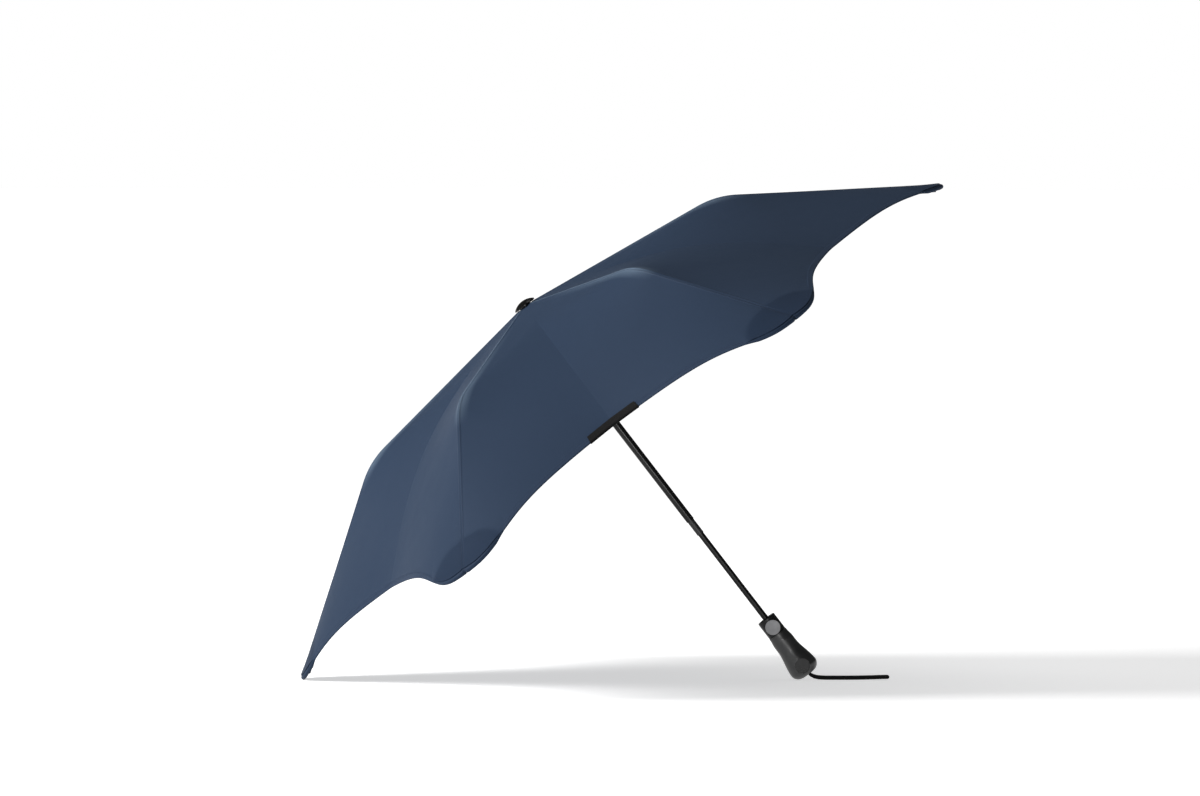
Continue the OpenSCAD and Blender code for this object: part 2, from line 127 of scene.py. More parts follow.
class Paint:
    """A Principled material and short calls that add nodes to it."""

    def __init__(self, name, **values):
        self.material = bpy.data.materials.new(name)
        self.material.use_nodes = True
        self.tree = self.material.node_tree
        self.bsdf = self.tree.nodes["Principled BSDF"]
        for key, value in values.items():
            self.bsdf.inputs[key.replace("_", " ")].default_value = value

    def node(self, kind, inputs=(), **settings):
        made = self.tree.nodes.new(kind)
        for key, value in settings.items():
            setattr(made, key, value)
        for key, value in dict(inputs).items():
            if isinstance(value, bpy.types.NodeSocket):
                self.tree.links.new(value, made.inputs[key])
            else:
                made.inputs[key].default_value = value
        return made

    def math(self, operation, a, b=0.0, c=0.0):
        return self.node("ShaderNodeMath", {0: a, 1: b, 2: c}, operation=operation).outputs[0]

    def attribute(self, name):
        return self.node("ShaderNodeAttribute", attribute_name=name)

    def place(self, scale=(1.0, 1.0, 1.0)):
        where = self.node("ShaderNodeTexCoord").outputs["Object"]
        return self.node("ShaderNodeMapping", {"Vector": where, "Scale": scale}).outputs[0]

    def noise(self, where, scale, detail=3.0, roughness=0.5):
        inputs = {"Vector": where, "Scale": scale, "Detail": detail, "Roughness": roughness}
        return self.node("ShaderNodeTexNoise", inputs).outputs["Fac"]

    def spread(self, fac, low, high):
        inputs = {"Value": fac, "From Min": 0.3, "From Max": 0.7, "To Min": low, "To Max": high}
        return self.node("ShaderNodeMapRange", inputs).outputs[0]

    def mix(self, fac, a, b):
        made = self.node("ShaderNodeMix", data_type="RGBA")
        for index, value in ((0, fac), (6, a), (7, b)):
            if isinstance(value, bpy.types.NodeSocket):
                self.tree.links.new(value, made.inputs[index])
            else:
                made.inputs[index].default_value = value
        return made.outputs[2]

    def bump(self, height, distance, strength=1.0):
        inputs = {"Height": height, "Distance": distance, "Strength": strength}
        if self.bsdf.inputs["Normal"].is_linked:
            inputs["Normal"] = self.bsdf.inputs["Normal"].links[0].from_socket
        made = self.node("ShaderNodeBump", inputs)
        self.tree.links.new(made.outputs[0], self.bsdf.inputs["Normal"])

    def set(self, key, socket):
        self.tree.links.new(socket, self.bsdf.inputs[key])


def grey(value, blue=0.0):
    return (value, value, value * (1.0 + blue), 1.0)


def moulded(name, value, roughness, grain=900.0, relief=0.00003, blue=0.03, coat=0.0, shine=0.5):
    """Moulded plastic or rubber: fine grain, faint mottling, slightly uneven gloss."""
    p = Paint(name, IOR=1.46, Specular_IOR_Level=shine, Coat_Weight=coat, Coat_Roughness=0.06)
    where = p.place()
    mottle = p.noise(where, 45.0, 4.0)
    p.set("Base Color", p.mix(p.spread(mottle, 0.0, 1.0), grey(value * 0.85, blue), grey(value * 1.2, blue)))
    p.set("Roughness", p.spread(p.noise(where, 130.0, 5.0), roughness - 0.05, roughness + 0.06))
    p.bump(p.noise(where, grain, 2.0), relief, 0.6)
    return p.material


def lacquered(name, value, roughness):
    """Black lacquered tube: faint draw lines along it and a clear coat."""
    p = Paint(name, IOR=1.5, Specular_IOR_Level=0.2, Coat_Weight=0.15, Coat_Roughness=0.05)
    where = p.place()
    inputs = {"Vector": where, "Rotation": (0.0, LEAN, 0.0), "Scale": (900.0, 900.0, 8.0)}
    along = p.node("ShaderNodeMapping", inputs)
    lines = p.noise(along.outputs[0], 1.0, 2.0)
    p.set("Base Color", p.mix(p.spread(lines, 0.0, 1.0), grey(value * 0.8), grey(value * 1.3)))
    p.set("Roughness", p.spread(p.noise(where, 60.0, 4.0), roughness - 0.04, roughness + 0.06))
    p.bump(lines, 0.00001, 0.4)
    return p.material


def bright_wire(name):
    p = Paint(name, Metallic=1.0)
    where = p.place()
    shade = p.noise(where, 300.0, 4.0)
    p.set("Base Color", p.mix(shade, grey(0.42), grey(0.62)))
    p.set("Roughness", p.spread(p.noise(where, 700.0, 3.0), 0.22, 0.4))
    p.bump(shade, 0.00001, 0.4)
    return p.material


def webbing(name, value, pitch):
    """Woven band: warp ribs along it, weft across, from the piece's own coordinates in metres."""
    p = Paint(name, Roughness=0.85, Sheen_Weight=0.02, Sheen_Roughness=0.5, Specular_IOR_Level=0.1)
    own = p.node("ShaderNodeSeparateXYZ", {0: p.attribute("cloth").outputs["Vector"]})
    turns = 2.0 * math.pi / pitch
    warp = p.math("SINE", p.math("MULTIPLY", own.outputs[0], turns))
    weft = p.math("SINE", p.math("MULTIPLY", own.outputs[1], turns * 0.8))
    weave = p.math("MULTIPLY_ADD", p.math("MULTIPLY", warp, weft), 0.5, 0.5)
    fuzz = p.noise(p.place(), 1500.0, 2.0)
    shade = p.math("MULTIPLY", weave, p.spread(fuzz, 0.6, 1.0))
    p.set("Base Color", p.mix(shade, grey(value * 0.55), grey(value * 1.35)))
    p.bump(weave, 0.0001, 0.8)
    return p.material


def canopy_cloth():
    """Tightly woven navy cloth: weave, stitching at seams and hem, faint creases, painted shade over the tip
    patches, a painted highlight along the inner ribs near the knee and a thin painted highlight on the inner
    seams.
    """
    p = Paint("canopy_cloth", IOR=1.45, Specular_IOR_Level=0.05, Sheen_Weight=0.02, Sheen_Roughness=0.3,
              Sheen_Tint=(0.55, 0.75, 1.0, 1.0))
    cloth = p.attribute("cloth").outputs["Vector"]
    part = p.node("ShaderNodeSeparateXYZ", {0: cloth})
    across = part.outputs[0]
    along = part.outputs[1]
    rim = part.outputs[2]
    side = p.math("ABSOLUTE", across)
    patch = p.attribute("patch").outputs["Fac"]
    warp = p.node("ShaderNodeMapping", {"Vector": cloth, "Scale": (2600.0, 240.0, 0.0)}).outputs[0]
    weft = p.node("ShaderNodeMapping", {"Vector": cloth, "Scale": (240.0, 2600.0, 0.0)}).outputs[0]
    threads = p.math("ADD", p.noise(warp, 1.0, 1.0), p.noise(weft, 1.0, 1.0))
    threads = p.math("MULTIPLY", threads, 0.5)
    cloud = p.noise(p.place(), 7.0, 5.0, 0.6)
    base = p.mix(p.spread(cloud, 0.0, 1.0), (0.0178, 0.0295, 0.0535, 1.0), (0.0186, 0.0306, 0.055, 1.0))
    base = p.mix(p.spread(threads, 0.0, 0.5), base, (0.016, 0.026, 0.046, 1.0))
    # Painted shade over the tip patches, where the doubled cloth would let less light through: the patch
    # attribute sets its strength
    base = p.mix(p.math("MULTIPLY", patch, 0.6), base, (0.007, 0.0145, 0.031, 1.0))

    def ramp(value, off, on):
        """0 where the value is at off, 1 where it is at on, straight in between and level beyond."""
        inputs = {"Value": value, "From Min": off, "From Max": on, "To Min": 0.0, "To Max": 1.0}
        return p.node("ShaderNodeMapRange", inputs).outputs[0]

    # Painted highlight: lighter colour along the inner ribs near the knee, fading just past it, where the
    # ridge would catch the light
    painted_knee_highlight = p.math("MULTIPLY", ramp(along, -0.2, -0.01), ramp(along, 0.04, 0.0))
    painted_knee_highlight = p.math("MULTIPLY", painted_knee_highlight, ramp(side, 0.013, 0.0))
    base = p.mix(p.math("MULTIPLY", painted_knee_highlight, 0.7), base, (0.09, 0.125, 0.17, 1.0))

    def row(distance, at, length):
        """Stitches in a row, at a distance from a line, spaced along it."""
        off = p.math("ABSOLUTE", p.math("SUBTRACT", distance, at))
        band = p.math("LESS_THAN", off, 0.00035)
        step = p.math("FRACT", p.math("DIVIDE", length, 0.0028))
        return p.math("MULTIPLY", band, p.math("LESS_THAN", step, 0.72))

    stitches = p.math("MAXIMUM", row(side, 0.0021, along), row(rim, 0.0058, across))
    base = p.mix(p.math("MULTIPLY", stitches, 0.6), base, (0.012, 0.017, 0.03, 1.0))
    # Painted highlight: a thin lighter line over the middle of each rib seam on the inner panels, where the
    # seam's edge would catch the light
    seam = p.math("LESS_THAN", side, 0.0009)
    seam = p.math("MULTIPLY", seam, p.math("LESS_THAN", along, 0.0))
    base = p.mix(p.math("MULTIPLY", seam, 0.8), base, (0.07, 0.1, 0.14, 1.0))
    p.set("Base Color", base)
    p.set("Roughness", p.spread(p.noise(p.place(), 38.0, 4.0), 0.54, 0.58))
    creases = p.node("ShaderNodeMapping", {"Vector": cloth, "Scale": (26.0, 5.0, 0.0)}).outputs[0]
    p.bump(p.noise(creases, 1.0, 2.0, 0.4), 0.0003, 0.15)
    p.bump(threads, 0.00008, 0.7)
    p.bump(stitches, 0.0002, 0.5)
    return p.material


# ---------------------------------------------------------------- mesh helpers

def smooth(u):
    u = min(1.0, max(0.0, u))
    return u * u * (3.0 - 2.0 * u)


def make_piece(name, points, faces, material, cloth=None, patch=None, sharp=40.0):
    mesh = bpy.data.meshes.new(name)
    mesh.from_pydata([tuple(p) for p in points], [], faces)
    mesh.validate()
    mesh.polygons.foreach_set("use_smooth", [True] * len(mesh.polygons))
    mesh.set_sharp_from_angle(angle=math.radians(sharp))
    if cloth is not None:
        layer = mesh.attributes.new("cloth", "FLOAT_VECTOR", "POINT")
        layer.data.foreach_set("vector", [x for c in cloth for x in c])
    # patch: per point, how strongly the painted shade at the tips darkens the cloth
    if patch is not None:
        layer = mesh.attributes.new("patch", "FLOAT", "POINT")
        layer.data.foreach_set("value", patch)
    mesh.materials.append(material)
    piece = bpy.data.objects.new(name, mesh)
    bpy.context.scene.collection.objects.link(piece)
    return piece


def shell_faces(rows, cols, start=0, flip=False):
    """Faces of a closed shell of two grids of points, rows by cols, the upper grid first."""
    lower = start + rows * cols

    def at(i, j, base):
        return base + i * cols + j

    faces = []
    for i in range(rows - 1):
        for j in range(cols - 1):
            faces.append((at(i, j, start), at(i + 1, j, start),
                          at(i + 1, j + 1, start), at(i, j + 1, start)))
            faces.append((at(i, j, lower), at(i, j + 1, lower),
                          at(i + 1, j + 1, lower), at(i + 1, j, lower)))
    for j in range(cols - 1):
        faces.append((at(0, j, start), at(0, j + 1, start), at(0, j + 1, lower), at(0, j, lower)))
        n = rows - 1
        faces.append((at(n, j, start), at(n, j, lower), at(n, j + 1, lower), at(n, j + 1, start)))
    for i in range(rows - 1):
        faces.append((at(i, 0, start), at(i, 0, lower), at(i + 1, 0, lower), at(i + 1, 0, start)))
        n = cols - 1
        faces.append((at(i, n, start), at(i + 1, n, start), at(i + 1, n, lower), at(i, n, lower)))
    if flip:
        faces = [f[::-1] for f in faces]
    return faces


# ---------------------------------------------------------------- canopy

def profile(s, length):
    """Radius and depth of a rib's fabric line, rounded over a length at the knee."""
    if s <= -length:
        return (KNEE_R + s * INNER_DIR[0], KNEE_A + s * INNER_DIR[1])
    if s >= length:
        return (KNEE_R + s * OUTER_DIR[0], KNEE_A + s * OUTER_DIR[1])
    v = (s + length) / (2.0 * length)
    a = (1.0 - v) ** 2 * length
    b = v * v * length
    return (KNEE_R - a * INNER_DIR[0] + b * OUTER_DIR[0], KNEE_A - a * INNER_DIR[1] + b * OUTER_DIR[1])


def fullness(u, s):
    """How far the cloth stands out of the straight line between two ribs: it does so toward the tips."""
    return 1.15 * smooth((s - 20.0) / (S_TIP - 40.0)) * u * (1.0 - u) ** 1.5


def across_share(u, s):
    base = u if u >= RIDGE else u * u / (2.0 * RIDGE) + RIDGE / 2.0
    return base - RIDGE / 2.0 * (1.0 - smooth(u)) - fullness(u, s)


def edge_back(y):
    return SCALLOP * (1.0 - 1.0 / (1.0 + (abs(y) / SCALLOP_W) ** 3.2))


def s_edge(t):
    return S_TIP - edge_back(abs(t) * TIP_R * HALF_CHORD)


def reach(s):
    """Sideways distance from a rib to halfway, along the fabric."""
    return profile(s, 1.0)[0] * HALF_CHORD * SECTOR_COS


def fabric(s, t):
    """Point of the fabric in a rib's frame; t is 0 on the rib and 1 or -1 halfway to the next."""
    u = min(1.0, abs(t))
    r, a = profile(s, KNEE_ROUND + (KNEE_ROUND_MID - KNEE_ROUND) * u ** 0.8)
    m = across_share(u, s)
    from_crown = smooth((r - 40.0) / 160.0)
    near_rim = 1.0 - 0.35 * smooth((r - 330.0) / 120.0)
    hang = SAG * (1.0 - (1.0 - u) ** 2) * from_crown * near_rim
    return Vector((r * (1.0 - HALF_CHORD * HALF_CHORD * m), r * HALF_CHORD * SECTOR_COS * t, -a - hang))


def fabric_normal(s, t, side):
    e = 0.02
    inward = t * side
    t0 = side * max(0.0, inward - e)
    t1 = side * min(1.0, inward + e)
    ds = fabric(s + 1.0, t) - fabric(s - 1.0, t)
    dt = fabric(s, t1) - fabric(s, t0)
    n = ds.cross(dt)
    if n.z < 0:
        n.negate()
    return n.normalized()


SEAM_COLUMNS = (0.0, 0.7, 1.7, 2.3, 2.9, 4.5)
HEM_ROWS = (12.0, 9.0, 7.6, 6.6, 5.8, 5.0, 3.0, 1.2, 0.4, 0.0)


def columns(s, count):
    """t at each column: a few at fixed distances over the seam, then evenly to halfway."""
    wide = reach(s)
    shrink = min(1.0, wide / 14.0)
    close = [c * shrink / wide for c in SEAM_COLUMNS]
    last = close[-1]
    rest = [last + (1.0 - last) * (k / count) ** 1.15 for k in range(1, count + 1)]
    return close + rest


TURNS = (36.0, 72.0, 108.0, 144.0, 180.0)
UNDER_ROWS = (0.25, 0.6, 1.0)


def pocket_share(t):
    """1 where the rim wraps the tip spreader, falling to 0 along the free hem."""
    y = t * TIP_R * HALF_CHORD * SECTOR_COS
    return 1.0 - smooth((y - SPREAD_HALF + 2.0) / 14.0)


def rim_radius(t):
    """Half the rim's thickness: a flat hem, a pocket round the spreader, a bulge over the rib's end."""
    y = t * TIP_R * HALF_CHORD * SECTOR_COS
    return 0.45 + pocket_share(t) * (1.6 + 0.6 * math.exp(-(y / 12.0) ** 2))


def turned_rim(t, side, k):
    """A point of the cloth where it turns under at the rim: place, normal, distance back and s."""
    r = rim_radius(t)
    limit = s_edge(t)
    s = limit - r
    n = fabric_normal(s, t * side, side)
    if k < len(TURNS):
        out = (fabric(limit, t * side) - fabric(limit - 2.0, t * side)).normalized()
        turn = math.radians(TURNS[k])
        away = n * math.cos(turn) + out * math.sin(turn)
        return fabric(s, t * side) - n * r + away * r, away, 0.0, s
    back = (7.0 + 15.0 * pocket_share(t)) * UNDER_ROWS[k - len(TURNS)]
    s -= back
    n = fabric_normal(s, t * side, side)
    y = t * TIP_R * HALF_CHORD * SECTOR_COS
    dip = 2.4 * pocket_share(t) * math.exp(-(y / 12.0) ** 2) * smooth(back / 14.0)
    return fabric(s, t * side) - n * (2.0 * r + dip), -n, back, s


def half_panel(side, outer):
    """One grid of an outer or inner half panel: points, cloth coordinates and sizes, in a rib's frame."""
    count = 30
    rows = 46 if outer else 40
    upper = []
    lower = []
    cloth = []
    patch = []
    grid = []
    steps = rows + (len(HEM_ROWS) + len(TURNS) + len(UNDER_ROWS) if outer else 1)
    for k in range(steps):
        line = []
        for j in range(len(SEAM_COLUMNS) + count):
            if k >= rows + len(HEM_ROWS) and outer:
                t = columns(S_TIP, count)[j]
                p, n, rim, s = turned_rim(t, side, k - rows - len(HEM_ROWS))
                y = t * reach(s)
                line.append(p)
                upper.append(p + n * (CLOTH_HALF + HEM_RISE))
                lower.append(p - n * CLOTH_HALF)
                cloth.append((y * side * MM, s * MM, rim * MM))
                patch.append(0.35 * near_tip(s, y))
                continue
            if outer:
                s_guess = S_TIP * min(1.0, k / rows)
                t = columns(s_guess, count)[j]
                limit = s_edge(t) - rim_radius(t)
                if k < rows:
                    s = (limit - HEM_ROWS[0]) * (k / rows) ** 1.12
                else:
                    s = limit - HEM_ROWS[k - rows]
                rim = limit - s
            else:
                s = S_START * (1.0 - k / rows) ** 1.12
                t = columns(s, count)[j]
                rim = 1000.0
            p = fabric(s, t * side)
            n = fabric_normal(s, t * side, side)
            y = t * reach(s)
            over_seam = 1.0 - smooth((y - SEAM_HALF + 0.5) / 0.8)
            over_hem = 1.0 - smooth((rim - HEM + 0.6) / 1.0)
            pucker = 0.25 * math.sin(y * 0.9) * (1.0 - smooth(abs(rim - 6.0) / 7.0))
            rise = SEAM_RISE * over_seam + HEM_RISE * over_hem + pucker
            line.append(p)
            upper.append(p + n * (CLOTH_HALF + rise))
            lower.append(p - n * (CLOTH_HALF + HEM_RISE * over_hem * 0.7))
            cloth.append((y * side * MM, s * MM, rim * MM))
            patch.append(0.35 * near_tip(s, y) if outer else 0.0)
        grid.append(line)
    return upper, lower, cloth, patch, grid


def near_tip(s, y):
    """1 at a tip, falling softly to 0 at the border of its double patch."""
    off = math.hypot((S_TIP - s) / POCKET_LEN, y / POCKET_HALF)
    return 1.0 - smooth((off - 0.84) / 0.12)


def tip_patch(side):
    """The second layer over a tip: it lies on the cloth at its inner border and stands open at the rim."""
    rows = 22
    cols = 26
    upper = []
    lower = []
    cloth = []
    patch = []
    for k in range(rows + 1):
        for j in range(cols + 1):
            y = POCKET_HALF * j / cols
            v = k / rows
            t_rim = y / (TIP_R * HALF_CHORD * SECTOR_COS)
            end = s_edge(t_rim) - rim_radius(t_rim) - POCKET_LIP
            begin = S_TIP - POCKET_LEN
            s = begin + (end - begin) * (1.0 - (1.0 - v) ** 1.5)
            t = min(1.0, y / reach(s))
            p = fabric(s, t * side)
            n = fabric_normal(s, t * side, side)
            open_rim = smooth((v - 0.35) / 0.65)
            edge = 1.0 - smooth((y - POCKET_HALF + 16.0) / 16.0)
            over_seam = 1.0 - smooth((y - SEAM_HALF + 0.5) / 0.8)
            base = CLOTH_HALF - 0.15 + SEAM_RISE * over_seam
            rise = base + (0.3 + (POCKET_RISE - 0.3) * open_rim) * edge * smooth(v * 4.0)
            under = rise - 0.45 * edge - 0.1
            upper.append(p + n * rise)
            lower.append(p + n * under)
            cloth.append((y * side * MM, s * MM, (end - s + 0.5) * MM))
            patch.append(near_tip(s, y))
    return upper, lower, cloth, patch, rows + 1, cols + 1


def fold_with_canopy(piece):
    """Gives a soft piece its own copy of its mesh."""
    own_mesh(piece)


def make_canopy(material):
    for side in (1, -1):
        word = "left" if side > 0 else "right"
        for outer in (False, True):
            upper, lower, cloth, patch, grid = half_panel(side, outer)
            rows = len(grid)
            cols = len(grid[0])
            points = upper + lower
            coords = cloth + cloth
            shades = patch + patch
            faces = shell_faces(rows, cols, 0, side < 0)
            if outer:
                pu, pl, pc, pp, prows, pcols = tip_patch(side)
                faces += shell_faces(prows, pcols, len(points), side < 0)
                points = points + pu + pl
                coords = coords + pc + pc
                shades = shades + pp + pp
            part = "outer" if outer else "inner"
            for i in range(RIBS):
                place = at_rib(i)
                piece = make_piece(f"cloth_{part}_{i}_{word}", [place @ p for p in points], faces, material,
                                   coords, shades)
                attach(piece, f"{part}_rib_{i}")
                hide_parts(f"canopy_{part}_{i}")
                fold_with_canopy(piece)


def make_label(material):
    """Blank woven label folded over the middle of the near edge, half on each neighbouring panel."""
    half_len = 24.5
    face_w = 11.0
    proud = 1.6
    wrap_r = 1.9
    t_cols = 14
    flat = [face_w * k / 6 for k in range(6, 0, -1)]
    for rib, side in ((4, 1), (5, -1)):
        upper = []
        lower = []
        cloth = []
        for k in range(len(flat) * 2 + 7):
            turn = math.radians(30.0 * (k - len(flat)))
            for j in range(t_cols + 1):
                y = half_len * j / t_cols
                t = 1.0 - y / (TIP_R * HALF_CHORD * SECTOR_COS * 0.8)
                rim = s_edge(t) + proud - wrap_r
                back = 0.0
                if k < len(flat):
                    back = flat[k]
                    turn = 0.0
                if k > len(flat) + 6:
                    back = flat[len(flat) * 2 + 6 - k]
                    turn = math.pi
                s = rim - back
                n = fabric_normal(s, t * side, side)
                out = (fabric(rim, t * side) - fabric(rim - 2.0, t * side)).normalized()
                away = n * math.cos(turn) + out * math.sin(turn)
                p = fabric(s, t * side) - n * 0.4
                upper.append(p + away * wrap_r)
                lower.append(p + away * (wrap_r - 0.7))
                cloth.append((s * MM, y * MM, 0.0))
        rows = len(flat) * 2 + 6
        faces = shell_faces(rows + 1, t_cols + 1, 0, side > 0)
        place = at_rib(rib)
        piece = make_piece(f"edge_label_{rib}", [place @ p for p in upper + lower], faces, material,
                           cloth + cloth)
        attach(piece, f"outer_rib_{rib}")
        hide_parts("edge_label")
        fold_with_canopy(piece)


# ---------------------------------------------------------------- tip spreaders and springs

HUB_LEN = 24.0
HUB_FROM = S_TIP - 66.0
ROD_BELOW = 6.5


def sweep(path, normals, half_w, half_t, corners=12):
    """Rounded bar along a path: points and faces, with its ends closed."""
    points = []
    for k, point in enumerate(path):
        ahead = path[min(k + 1, len(path) - 1)]
        behind = path[max(k - 1, 0)]
        side = (ahead - behind).cross(normals[k]).normalized()
        end = 0.55 if k in (0, len(path) - 1) else 1.0
        for c in range(corners):
            turn = 2.0 * math.pi * (c + 0.5) / corners
            x = math.copysign(abs(math.cos(turn)) ** 0.6, math.cos(turn)) * half_w * end
            z = math.copysign(abs(math.sin(turn)) ** 0.6, math.sin(turn)) * half_t * end
            points.append(point + side * x + normals[k] * z)
    faces = []
    for k in range(len(path) - 1):
        for c in range(corners):
            n = (c + 1) % corners
            faces.append((k * corners + c, k * corners + n, (k + 1) * corners + n, (k + 1) * corners + c))
    faces.append(tuple(range(corners))[::-1])
    faces.append(tuple((len(path) - 1) * corners + c for c in range(corners)))
    return points, faces


def below_cloth(s, y, side, drop):
    t = y / (TIP_R * HALF_CHORD) * side
    normal = fabric_normal(s, t, side)
    return fabric(s, t) - normal * drop, normal


def join(parts):
    points = []
    faces = []
    for more, shape in parts:
        faces += [tuple(v + len(points) for v in f) for f in shape]
        points += more
    return points, faces


def make_spreaders(material):
    """Moulded spreader under each tip: a sleeve on the rod, two arms and a curved edge."""
    drop = SPREAD_BELOW - 0.4
    for side in (1, -1):
        edge = []
        for k in range(17):
            y = SPREAD_HALF * k / 16.0
            edge.append(below_cloth(S_TIP - edge_back(y) - 6.5, y, side, drop))
        arm_end = S_TIP - edge_back(SPREAD_HALF) - 6.5
        arm = []
        for k in range(13):
            v = k / 12.0
            s = HUB_FROM + 14.0 + v * (arm_end - HUB_FROM - 14.0)
            arm.append(below_cloth(s, 2.2 + v * (SPREAD_HALF - 3.2), side, drop + 0.6 * (1.0 - v)))
        bars = [sweep([p for p, n in line], [n for p, n in line], half_w, 1.0)
                for line, half_w in ((edge, 2.4), (arm, 2.0))]
        points, faces = join(bars)
        for i in range(RIBS):
            place = at_rib(i)
            word = "left" if side > 0 else "right"
            piece = make_piece(f"spreader_{i}_{word}", [place @ p for p in points], faces, material)
            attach(piece, f"outer_rib_{i}")
            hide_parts(f"tip_spreader_{i}")
            fold_with_canopy(piece)
    make_sleeves(material)


def make_sleeves(material):
    sizes = ((0.0, 1.7), (0.3, 2.7), (1.2, 3.1), (5.0, 3.1), (5.6, 2.6), (6.6, 2.6), (7.2, 3.1), (12.0, 3.1),
             (HUB_LEN - 1.2, 3.0), (HUB_LEN - 0.3, 2.6), (HUB_LEN, 1.7))
    along = Vector((OUTER_DIR[0], 0.0, -OUTER_DIR[1]))
    normal = Vector((OUTER_DIR[1], 0.0, OUTER_DIR[0]))
    side = Vector((0.0, 1.0, 0.0))
    corners = 24
    points = []
    for run, radius in sizes:
        r, a = profile(HUB_FROM + run, 1.0)
        centre = Vector((r, 0.0, -a)) - normal * ROD_BELOW
        for c in range(corners):
            turn = 2.0 * math.pi * c / corners
            points.append(centre + (side * math.cos(turn) + normal * math.sin(turn)) * radius)
    faces = []
    for k in range(len(sizes) - 1):
        for c in range(corners):
            n = (c + 1) % corners
            faces.append((k * corners + c, (k + 1) * corners + c, (k + 1) * corners + n, k * corners + n))
    faces.append(tuple(range(corners)))
    faces.append(tuple((len(sizes) - 1) * corners + c for c in range(corners))[::-1])
    for i in range(RIBS):
        piece = make_piece(f"spreader_sleeve_{i}", [at_rib(i) @ p for p in points], faces, material)
        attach(piece, f"outer_rib_{i}")
        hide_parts(f"tip_spreader_{i}")


def coil(name, place, radius, wire, height, turns, material):
    """Coil spring along +Z of place."""
    steps = int(turns * 28)
    corners = 8
    points = []
    for k in range(steps + 1):
        turn = 2.0 * math.pi * turns * k / steps
        z = wire + (height - 2.0 * wire) * k / steps
        for c in range(corners):
            around = 2.0 * math.pi * c / corners
            r = radius + wire * math.cos(around)
            rise = z + wire * math.sin(around)
            points.append(place @ Vector((r * math.cos(turn), r * math.sin(turn), rise)))
    faces = []
    for k in range(steps):
        for c in range(corners):
            n = (c + 1) % corners
            faces.append((k * corners + c, (k + 1) * corners + c, (k + 1) * corners + n, k * corners + n))
    faces.append(tuple(range(corners)))
    faces.append(tuple(steps * corners + c for c in range(corners))[::-1])
    return make_piece(name, points, faces, material)


def make_springs(material):
    plug_top = 296.0
    free_len = 269.0
    foot = LAY @ Matrix.Translation((0.0, 0.0, -plug_top + 0.6))
    spring = coil("opening_spring", foot, 3.6, 0.4, free_len, 34.0, material)
    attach(spring, "handle_and_lower_tube")
    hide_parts("shaft_spring")
    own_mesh(spring)
    facing = Matrix.Rotation(math.radians(90.0), 4, "X")
    seat = LAY @ Matrix.Translation((0.0, -7.7, -BUTTON_A)) @ facing
    small = coil("return_spring", seat, 5.0, 0.3, 2.3, 2.0, material)
    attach(small, "handle_and_lower_tube")
    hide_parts("button_spring")
    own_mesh(small)


# ---------------------------------------------------------------- CAD nodes that stay

def dress(names, material):
    for name in names:
        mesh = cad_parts[name].data
        mesh.materials.clear()
        mesh.materials.append(material)


def dress_frame():
    black = moulded("moulded_black", 0.014, 0.36)
    dress(["crown", "runner", "reducer_bush", "tube_plug", "handle_core"], black)
    dress(["handle_collar", "grip_discs"], moulded("satin_black", 0.007, 0.3, 1400.0, shine=0.35))
    dress(["handle_grip"], moulded("soft_grip", 0.01, 0.36, 1800.0, 0.00004, shine=1.0))
    dress(["button"], moulded("button_grey", 0.26, 0.42, 1200.0, 0.00002))
    dress(["top_cap"], moulded("gloss_black", 0.004, 0.14, 200.0, 0.000005, 0.0, 0.1, 0.12))
    dress(["upper_tube", "lower_tube"], lacquered("black_tube", 0.005, 0.2))
    ribs = [f"inner_rib_{i}" for i in range(RIBS)] + [f"strut_{i}" for i in range(RIBS)]
    dress(ribs, lacquered("rib_steel", 0.018, 0.36))
    dress([f"outer_rib_{i}" for i in range(RIBS)], moulded("rib_fibre", 0.013, 0.42, 500.0))
    make_spreaders(black)
    wire = bright_wire("spring_wire")
    dress(["crown_ring", "strap_pin"] + [f"control_rod_{i}" for i in range(RIBS)], wire)
    make_springs(wire)


# ---------------------------------------------------------------- wrist strap

def strap_exit():
    return LAY @ Vector((0.0, 0.0, -STRAP_START))


def strap_side(lift):
    """Centreline of one layer of the strap, in metres, at a height over the ground."""
    start = strap_exit() / MM
    drops = ((0, 0), (2.4, -2.8), (5, -5.4), (9, -7.6), (14, -8.8), (22, -9.3), (34, -9.4), (48, -9.4),
             (62, -9.2), (76, -8.9), (86, -8.6), (92, -8.4), (97, -8.3))
    line = []
    for x, z in drops:
        low = max(start.z + z, 1.25) + lift * smooth(0.4 + x / 14.0)
        line.append(Vector((start.x + x, 0.0, low)))
    return line


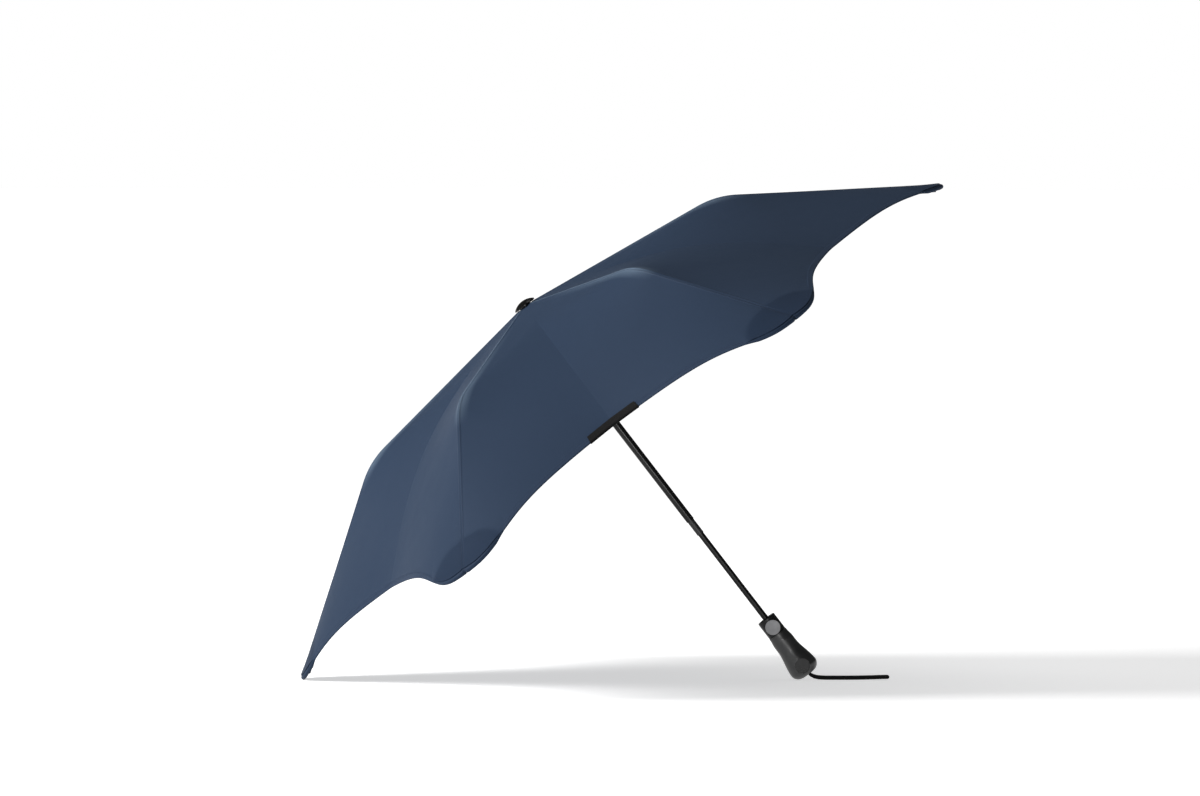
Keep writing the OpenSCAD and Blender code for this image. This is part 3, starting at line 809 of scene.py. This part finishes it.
def make_strap(material):
    """A loop of flat webbing: along the ground, round a fold and back on top of itself."""
    gap = 2.5
    low = strap_side(0.0)
    high = strap_side(gap)
    end = low[-1]
    fold = []
    for k in range(1, 8):
        turn = math.pi * k / 8.0
        out = gap / 2.0 * math.sin(turn) * 1.2
        up = gap / 2.0 * (1.0 - math.cos(turn))
        fold.append(Vector((end.x + out, 0.0, end.z + up)))
    line = low + fold + high[::-1]
    half_t = 1.15
    upper = []
    lower = []
    cloth = []
    cols = 10
    run = 0.0
    for k, point in enumerate(line):
        ahead = line[min(k + 1, len(line) - 1)]
        behind = line[max(k - 1, 0)]
        if k:
            run += (point - line[k - 1]).length
        d = (ahead - behind).normalized()
        n = Vector((-d.z, 0.0, d.x))
        for j in range(cols + 1):
            y = STRAP_W * (j / cols - 0.5)
            edge = 1.0 - 0.35 * (abs(2.0 * j / cols - 1.0)) ** 6
            upper.append((point + n * half_t * edge + Vector((0, y, 0))) * MM)
            lower.append((point - n * half_t * edge + Vector((0, y, 0))) * MM)
            cloth.append((y * MM, run * MM, 0.0))
    piece = make_piece("wrist_strap_loop", upper + lower, shell_faces(len(line), cols + 1), material,
                       cloth + cloth)
    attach(piece, "handle_and_lower_tube")
    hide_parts("wrist_strap")


# ---------------------------------------------------------------- stage

FLOOR_REACH = 60.0         # metres from the middle of the floor to its edge
LIT_RADIUS = 1.1           # within this distance the studio lights light the floor, in metres
GLOW_RADIUS = 2.6
FLOOR_GLOW_NEAR = 0.57
FLOOR_GLOW_FAR = 1.0
HORIZON_BAND = 0.1         # half the height of the bright band at the horizon, as a sine


def pale_floor():
    """Pale floor: its own glow rises where the studio lights no longer reach."""
    p = Paint("pale_floor", Roughness=0.9, Specular_IOR_Level=0.0, Emission_Color=(1.0, 1.0, 1.0, 1.0))
    where = p.place()
    p.set("Base Color", p.mix(p.noise(where, 3.0, 2.0), grey(0.8), grey(0.82)))
    far = p.node("ShaderNodeVectorMath", {0: where}, operation="LENGTH").outputs["Value"]
    inputs = {"Value": far, "From Min": LIT_RADIUS, "From Max": GLOW_RADIUS,
              "To Min": FLOOR_GLOW_NEAR, "To Max": FLOOR_GLOW_FAR}
    p.set("Emission Strength", p.node("ShaderNodeMapRange", inputs).outputs[0])
    return p.material


def make_stage():
    """A flat floor that is open on all sides, so that no view of the object is blocked."""
    mesh = bpy.data.meshes.new("floor")
    corners = [(-FLOOR_REACH, -FLOOR_REACH, 0.0), (FLOOR_REACH, -FLOOR_REACH, 0.0),
               (FLOOR_REACH, FLOOR_REACH, 0.0), (-FLOOR_REACH, FLOOR_REACH, 0.0)]
    mesh.from_pydata(corners, [], [(0, 1, 2, 3)])
    mesh.materials.append(pale_floor())
    floor = bpy.data.objects.new("floor", mesh)
    bpy.context.scene.collection.objects.link(floor)


def studio_air(world, dim, bright):
    """White surroundings, bright in a narrow band at the horizon and dim elsewhere."""
    world.use_nodes = True
    tree = world.node_tree
    background = tree.nodes["Background"]
    background.inputs[0].default_value = (1.0, 1.0, 1.0, 1.0)
    way = tree.nodes.new("ShaderNodeTexCoord")
    split = tree.nodes.new("ShaderNodeSeparateXYZ")
    tree.links.new(way.outputs["Generated"], split.inputs[0])
    height = tree.nodes.new("ShaderNodeMath")
    height.operation = "ABSOLUTE"
    tree.links.new(split.outputs[2], height.inputs[0])
    ramp = tree.nodes.new("ShaderNodeMapRange")
    for name, value in (("From Min", HORIZON_BAND), ("From Max", 2.0 * HORIZON_BAND),
                        ("To Min", bright), ("To Max", dim)):
        ramp.inputs[name].default_value = value
    tree.links.new(height.outputs[0], ramp.inputs["Value"])
    tree.links.new(ramp.outputs[0], background.inputs[1])


def area_light(name, place, target, size, power):
    data = bpy.data.lights.new(name, "AREA")
    data.shape = "RECTANGLE"
    data.size = size[0]
    data.size_y = size[1]
    data.energy = power
    light = bpy.data.objects.new(name, data)
    direction = Vector(target) - Vector(place)
    light.location = place
    light.rotation_euler = direction.to_track_quat("-Z", "Y").to_euler()
    bpy.context.scene.collection.objects.link(light)


def make_lights():
    world = bpy.data.worlds.new("studio")
    studio_air(world, 0.07, 1.0)
    bpy.context.scene.world = world
    bpy.context.scene.view_settings.view_transform = "Standard"
    area_light("key", (-3.2, -0.6, 1.7), (-0.1, 0.0, 0.3), (1.6, 1.6), 200.0)
    area_light("top", (0.0, 0.5, 2.9), (0.0, 0.0, 0.2), (2.4, 2.0), 20.0)
    area_light("handle", (0.05, -2.6, 0.32), (0.2, 0.0, 0.08), (0.5, 0.5), 8.0)


make_camera()
make_stage()
make_lights()
make_strap(webbing("strap_webbing", 0.008, 0.0011))
make_canopy(canopy_cloth())
make_label(webbing("label_black", 0.004, 0.0006))
dress_frame()
